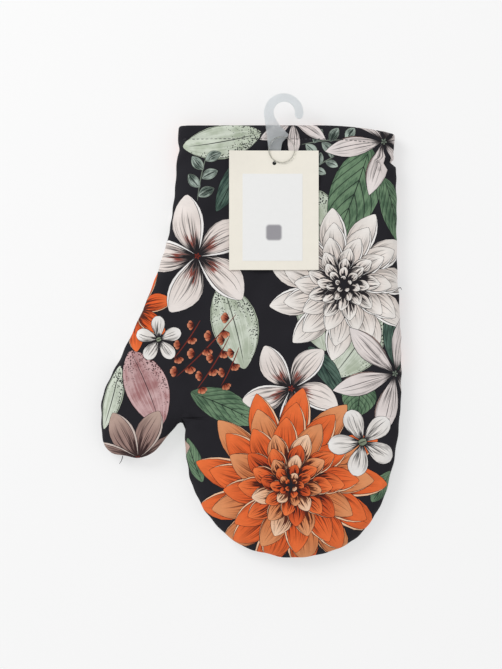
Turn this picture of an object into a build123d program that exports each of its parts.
from build123d import *
import math
import os

# Oven mitt, lying on its back panel with the thumb to -X and the cuff to +Y.
# All sizes are in millimetres. The origin is under the middle of the whole object,
# on the surface that the mitt lies on, and +Z points up through the front panel.

# Cloth and padding, counted inwards from the outside
THICKNESS = 16.0
SHELL = 0.8
WADDING = 3.0
LINING = 0.6
EDGE_ROUNDING = 6.0
SEAM_ALLOWANCE = 0.8
MIDDLE_Z = THICKNESS / 2

# Cuff: the printed cloth turns in over the padding and is topstitched down
CUFF_Y = 135.0
CUFF_MIDDLE_X = 23.8
HEM_DEPTH = 11.0
HEM_CLOTH = 0.8
TOPSTITCH_Y = CUFF_Y - 9.3
TOPSTITCH_RUN = 136.0
STITCH_LENGTH = 2.2
STITCH_PITCH = 3.0
STITCH_WIDTH = 0.5
GROOVE_RUN = 139.5
GROOVE_WIDTH = 1.1
GROOVE_DEPTH = 0.5
THREAD_CLEARANCE = 0.05

# Side seam thread, hidden between the printed cloth and the wadding
SEAM_THREAD_INSET = 0.95
SEAM_THREAD = 0.5
THREAD_END_RADIUS = 0.3
THUMB_THREAD_END = (-86.6, -88.4)
THUMB_THREAD_ANGLE = -110.0
THUMB_THREAD_LENGTH = 5.0
SIDE_THREAD_END = (99.75, 25.5)
SIDE_THREAD_ANGLE = 10.0
SIDE_THREAD_LENGTH = 1.5

# Folds: the thumb and the fingers fold up over the palm about the mid-plane
KNUCKLE_RADIUS = 9.6
FOLD_GAP = 0.4
THUMB_ROOT_OUTER = (-72.15, 6.61)
THUMB_ROOT_CROTCH = (-42.45, -60.89)
THUMB_ROOT_RUN_OUT = 22.0
CROTCH_RUN_OUT = 3.0
FINGER_FOLD_Y = -78.0
CROTCH_GAP_X = -47.5
CROTCH_GAP_TOP = -66.0
FINGER_WIDTH = 160.0
FINGER_REACH = 100.0
THUMB_OUTSIDE_X = -120.0
THUMB_OUTSIDE_Y = -100.0
CUTTER_HEIGHT = 60.0

# Swing tag, its label, and the pin that it turns on
TAG_WIDTH = 60.0
TAG_HEIGHT = 80.0
TAG_CARD = 0.4
TAG_CENTRE = (15.35, 77.6)
TAG_Z = 17.8
TAG_HOLE_RADIUS = 1.3
LABEL_WIDTH = 40.2
LABEL_HEIGHT = 58.4
LABEL_CENTRE = (14.45, 72.9)
LABEL_PAPER = 0.12
PIN_CENTRE = (15.6, 109.15)
PIN_RADIUS = 0.45
PIN_LOOP_CENTRE = (20.6, 118.1)
PIN_LOOP_RADIUS = 8.6
PIN_LOOP_Z = 19.0
PIN_BAR_LENGTH = 8.0
PIN_BAR_RADIUS = 0.6
PIN_BAR_Z = 13.8
PIN_CLEARANCE = 0.3

# Hanging hook, a flat moulding that turns on the same pin under the tag
HOOK_Z = 16.35
HOOK_PLATE = 1.1
HOOK_OUTER_CENTRE = (21.95, 142.85)
HOOK_OUTER_RADIUS = 13.2
HOOK_INNER_CENTRE = (22.3, 143.4)
HOOK_INNER_RADIUS = 7.2
HOOK_TIP_CENTRE = (32.3, 141.7)
HOOK_TIP_RADIUS = 2.6
HOOK_EYE_RADIUS = 1.2
HOOK_EYE_PAD = 4.6
HOOK_MOUTH_LEFT = 17.0
HOOK_MOUTH_WIDTH = 20.0
HOOK_MOUTH_DEPTH = 16.0

# How much of a run each of its two corner arcs may take
ROUNDING_SHARE = 0.43

# The sewing pattern's corners, clockwise from the cuff beside the thumb. It runs on past the
# cuff, so that the layers are cut off square there.
PATTERN_END_Y = CUFF_Y + 45
PATTERN = [
    (-48.9, PATTERN_END_Y),
    (-49.2, 118.0),
    (-54.5, 62.0),
    (-70.2, 17.0),
    (-89.5, -24.0),
    (-101.3, -46.0),
    (-101.3, -72.0),
    (-97.5, -85.6),
    (-77.0, -89.4),
    (-66.5, -87.0),
    (-56.0, -74.5),
    (-44.9, -60.0),
    (-44.8, -82.0),
    (-41.5, -105.0),
    (-30.4, -127.5),
    (-8.8, -149.0),
    (30.4, -158.7),
    (68.2, -148.0),
    (88.3, -122.9),
    (98.0, -87.0),
    (101.8, -50.0),
    (101.4, -2.0),
    (98.6, 40.0),
    (98.4, 100.0),
    (96.2, PATTERN_END_Y),
]


def rounded_pattern():
    """The pattern with each corner rounded by the largest arc that its two runs allow."""
    corners = [Vector(*point) for point in PATTERN]
    radii = []
    for i, corner in enumerate(corners):
        before = corner - corners[i - 1]
        after = corners[(i + 1) % len(corners)] - corner
        turn = math.radians(before.get_angle(after))
        run = min(before.length, after.length)
        radii.append(ROUNDING_SHARE * run / math.tan(turn / 2))
    return make_face(FilletPolyline(*corners, radius=radii, close=True))


def slab(face, low, high):
    """The face as a solid between two heights."""
    return Pos(0, 0, low) * extrude(face, high - low)


def inset_face(face, inset):
    """The face drawn in by inset all round."""
    if inset == 0:
        return face
    return offset(face, amount=-inset)


def hollow(face, inset, depth):
    """A flat-sided form, inset in plan and by depth from the front and back."""
    return slab(inset_face(face, inset), depth, THICKNESS - depth)


def pillow(face, inset, depth):
    """The padded form, inset and deep like a hollow, with its edges rounded."""
    block = hollow(face, inset, depth)
    faces = block.faces().sort_by(Axis.Z)
    rim = faces[0].edges() + faces[-1].edges()
    return fillet(rim, EDGE_ROUNDING - depth)


def band(y_low, y_high):
    """A box wider and higher than the mitt, between two distances along it."""
    middle_y = (y_low + y_high) / 2
    return Pos(0, middle_y, MIDDLE_Z) * Box(2 * PATTERN_END_Y, y_high - y_low, CUTTER_HEIGHT)


def front_half():
    """Everything above the seam."""
    size = 3 * PATTERN_END_Y
    return Pos(0, 0, MIDDLE_Z + CUTTER_HEIGHT / 2) * Box(size, size, CUTTER_HEIGHT)


def to_back(shape):
    """The same piece on the back panel, mirrored through the seam."""
    return mirror(shape, about=Plane.XY.offset(MIDDLE_Z))


def thumb_zone(gap):
    """Everything that moves with the thumb: its side of the fold line and the knuckle round the line.

    The knuckle runs on a little past the crotch, so that the thumb's inner corner turns clear of the palm.
    """
    outer = Vector(*THUMB_ROOT_OUTER)
    crotch = Vector(*THUMB_ROOT_CROTCH)
    along = (crotch - outer).normalized()
    start = outer - along * THUMB_ROOT_RUN_OUT
    side = [
        (start.X, start.Y),
        (crotch.X, crotch.Y),
        (CROTCH_GAP_X, CROTCH_GAP_TOP),
        (CROTCH_GAP_X, THUMB_OUTSIDE_Y),
        (THUMB_OUTSIDE_X, THUMB_OUTSIDE_Y),
        (THUMB_OUTSIDE_X, start.Y),
    ]
    low = MIDDLE_Z - CUTTER_HEIGHT / 2
    prism = slab(make_face(Polyline(*side, close=True)), low, low + CUTTER_HEIGHT)
    radius = KNUCKLE_RADIUS + gap
    length = (crotch - start).length + CROTCH_RUN_OUT + gap
    axis_plane = Plane(origin=(start.X, start.Y, MIDDLE_Z), z_dir=(along.X, along.Y, 0))
    knuckle = axis_plane * Cylinder(radius, length, align=(Align.CENTER, Align.CENTER, Align.MIN))
    return prism + knuckle


def finger_zone(gap):
    """Everything that moves with the fingers: past the fold line, and the knuckle round the line."""
    middle_x = CROTCH_GAP_X + FINGER_WIDTH / 2
    past_size = Box(FINGER_WIDTH, FINGER_REACH, CUTTER_HEIGHT)
    past = Pos(middle_x, FINGER_FOLD_Y - FINGER_REACH / 2, MIDDLE_Z) * past_size
    round_line = Rot(0, 90, 0) * Cylinder(KNUCKLE_RADIUS + gap, FINGER_WIDTH)
    return past + Pos(middle_x, FINGER_FOLD_Y, MIDDLE_Z) * round_line


def by_body(whole, zones):
    """Cuts a piece at the folds into the stretches that move with the hand, thumb and fingers."""
    return {
        "hand": whole - zones["thumb_gap"] - zones["finger_gap"],
        "thumb": whole & zones["thumb"],
        "fingers": whole & zones["fingers"],
    }


def stitches_across(z):
    """The row of topstitches along the hem, each a short flat bar, at one height."""
    count = int(TOPSTITCH_RUN / STITCH_PITCH) + 1
    first = CUFF_MIDDLE_X - (count - 1) * STITCH_PITCH / 2
    bar = Box(STITCH_LENGTH, STITCH_WIDTH, GROOVE_DEPTH - THREAD_CLEARANCE * 2)
    return [Pos(first + i * STITCH_PITCH, TOPSTITCH_Y, z) * bar for i in range(count)]


def hem_groove(z):
    """The shallow line that the topstitching pulls into the cloth."""
    return Pos(CUFF_MIDDLE_X, TOPSTITCH_Y, z) * Box(GROOVE_RUN, GROOVE_WIDTH, GROOVE_DEPTH)


def pin_hole(radius, low, high):
    return Pos(*PIN_CENTRE, (low + high) / 2) * Cylinder(radius, high - low)


def pin_bar_pocket():
    """Room in the front wadding for the pin's crossbar and shank."""
    size = 2 * (PIN_BAR_RADIUS + PIN_CLEARANCE)
    pocket = Pos(*PIN_CENTRE, PIN_BAR_Z) * Box(PIN_BAR_LENGTH + 1, size, size)
    return pocket + pin_hole(PIN_RADIUS + PIN_CLEARANCE, PIN_BAR_Z, THICKNESS + 1)


def mitt_layers(face):
    """The printed shell, wadding and lining as whole hollow forms, open at the cuff."""
    outer = pillow(face, 0, 0)
    shell_inside = pillow(face, SHELL, SHELL)
    wadding_outside = pillow(face, SHELL + SEAM_ALLOWANCE, SHELL)
    wadding_inset = SHELL + SEAM_ALLOWANCE + WADDING
    wadding_depth = SHELL + WADDING
    wadding_inside = hollow(face, wadding_inset, wadding_depth)
    cavity = hollow(face, wadding_inset + LINING, wadding_depth + LINING)
    hem_inside = hollow(face, wadding_inset + HEM_CLOTH, wadding_depth + HEM_CLOTH)

    bottom = -PATTERN_END_Y
    hem_y = CUFF_Y - HEM_DEPTH
    lip_y = CUFF_Y - SHELL
    skin = (outer - shell_inside) & band(bottom, CUFF_Y)
    lip = (outer - hem_inside) & band(lip_y, CUFF_Y)
    turned_hem = (wadding_inside - hem_inside) & band(hem_y, CUFF_Y)
    shell = skin + lip + turned_hem
    wadding = (wadding_outside - wadding_inside) & band(bottom, lip_y)
    lining = (wadding_inside - cavity) & band(bottom, hem_y)
    return shell, wadding, lining


def seam_thread(face):
    """The seam's thread, which runs inside the printed cloth all the way round but for the cuff."""
    low = MIDDLE_Z - SEAM_THREAD / 2
    high = MIDDLE_Z + SEAM_THREAD / 2
    ring = slab(inset_face(face, SEAM_THREAD_INSET), low, high)
    ring -= slab(inset_face(face, SEAM_THREAD_INSET + SEAM_THREAD), low, high)
    end_clearance = 0.2
    return ring & band(-PATTERN_END_Y, CUFF_Y - SHELL - end_clearance)


def thread_end(place, angle, length):
    """A cut end of sewing thread that stands out of the side seam."""
    turn = math.radians(angle)
    lie = Plane(origin=(*place, MIDDLE_Z), z_dir=(math.cos(turn), math.sin(turn), 0))
    return lie * Cylinder(THREAD_END_RADIUS, length, align=(Align.CENTER, Align.CENTER, Align.MIN))


def swing_tag():
    card = Pos(*TAG_CENTRE, TAG_Z + TAG_CARD / 2) * Box(TAG_WIDTH, TAG_HEIGHT, TAG_CARD)
    return card - pin_hole(TAG_HOLE_RADIUS, TAG_Z - 1, TAG_Z + 1)


def tag_label():
    low = TAG_Z + TAG_CARD
    return Pos(*LABEL_CENTRE, low + LABEL_PAPER / 2) * Box(LABEL_WIDTH, LABEL_HEIGHT, LABEL_PAPER)


def tag_pin():
    """A moulded nylon pin: crossbar under the cloth, shank through hook and tag, and a flat loop on top."""
    across = Rot(0, 90, 0) * Cylinder(PIN_BAR_RADIUS, PIN_BAR_LENGTH)
    bar = Pos(*PIN_CENTRE, PIN_BAR_Z) * across
    shank = pin_hole(PIN_RADIUS, PIN_BAR_Z, PIN_LOOP_Z)
    loop = Pos(*PIN_LOOP_CENTRE, PIN_LOOP_Z) * Torus(PIN_LOOP_RADIUS, PIN_RADIUS)
    towards = Vector(*PIN_LOOP_CENTRE) - Vector(*PIN_CENTRE)
    reach = towards.length - PIN_LOOP_RADIUS
    neck_plane = Plane(origin=(*PIN_CENTRE, PIN_LOOP_Z), z_dir=towards.normalized())
    neck = neck_plane * Cylinder(PIN_RADIUS, reach, align=(Align.CENTER, Align.CENTER, Align.MIN))
    elbow = Pos(*PIN_CENTRE, PIN_LOOP_Z) * Sphere(PIN_RADIUS)
    return bar + shank + elbow + neck + loop


def hanging_hook():
    """A flat hook: an open curl, a neck that widens under the hem, and an eye round the tag's pin."""
    curl = Pos(*HOOK_OUTER_CENTRE) * Circle(HOOK_OUTER_RADIUS)
    curl -= Pos(*HOOK_INNER_CENTRE) * Circle(HOOK_INNER_RADIUS)
    mouth = Rectangle(HOOK_MOUTH_WIDTH, HOOK_MOUTH_DEPTH)
    mouth_x = HOOK_MOUTH_LEFT + HOOK_MOUTH_WIDTH / 2
    curl -= Pos(mouth_x, HOOK_TIP_CENTRE[1] - HOOK_MOUTH_DEPTH / 2) * mouth
    curl += Pos(*HOOK_TIP_CENTRE) * Circle(HOOK_TIP_RADIUS)
    neck_corners = [
        (8.85, 142.0),
        (9.8, 134.5),
        (11.6, 119.5),
        (11.6, 109.2),
        (19.9, 109.2),
        (20.0, 118.0),
        (21.0, 123.4),
        (25.6, 128.2),
        (19.6, 134.2),
        (15.9, 139.6),
        (14.9, 144.5),
    ]
    neck_radii = [0.0, 18.0, 12.0, 0.0, 0.0, 9.0, 5.0, 1.2, 9.0, 9.0, 0.0]
    neck = make_face(FilletPolyline(*neck_corners, radius=neck_radii, close=True))
    pad = Pos(*PIN_CENTRE) * Circle(HOOK_EYE_PAD)
    eye = Pos(*PIN_CENTRE) * Circle(HOOK_EYE_RADIUS)
    return slab(curl + neck + pad - eye, HOOK_Z, HOOK_Z + HOOK_PLATE)


def build():
    face = rounded_pattern()
    shell, wadding, lining = mitt_layers(face)
    zones = {
        "thumb": thumb_zone(0),
        "fingers": finger_zone(0),
        "thumb_gap": thumb_zone(FOLD_GAP),
        "finger_gap": finger_zone(FOLD_GAP),
    }
    groove_z = THICKNESS - GROOVE_DEPTH / 2
    front_layers = {
        "shell": (shell & front_half()) - hem_groove(groove_z),
        "wadding": wadding & front_half(),
        "lining": lining & front_half(),
    }
    parts = {}
    for layer, whole in front_layers.items():
        for body, piece in by_body(whole, zones).items():
            parts["front_" + layer + "_" + body] = piece
            parts["back_" + layer + "_" + body] = to_back(piece)
    parts["front_shell_hand"] -= pin_hole(PIN_RADIUS + PIN_CLEARANCE, THICKNESS - 2, THICKNESS + 1)
    parts["front_wadding_hand"] -= pin_bar_pocket()
    for body, piece in by_body(seam_thread(face), zones).items():
        parts["seam_thread_" + body] = piece

    parts["front_topstitching"] = Compound(children=stitches_across(groove_z))
    parts["back_topstitching"] = Compound(children=stitches_across(THICKNESS - groove_z))
    parts["thread_end_thumb"] = thread_end(THUMB_THREAD_END, THUMB_THREAD_ANGLE, THUMB_THREAD_LENGTH)
    parts["thread_end_side"] = thread_end(SIDE_THREAD_END, SIDE_THREAD_ANGLE, SIDE_THREAD_LENGTH)
    parts["swing_tag"] = swing_tag()
    parts["tag_label"] = tag_label()
    parts["tag_pin"] = tag_pin()
    parts["hanging_hook"] = hanging_hook()
    return parts


os.makedirs("parts", exist_ok=True)
for name, shape in build().items():
    export_step(shape, "parts/" + name + ".step")
    print(name, round(shape.volume, 1), len(shape.solids()))
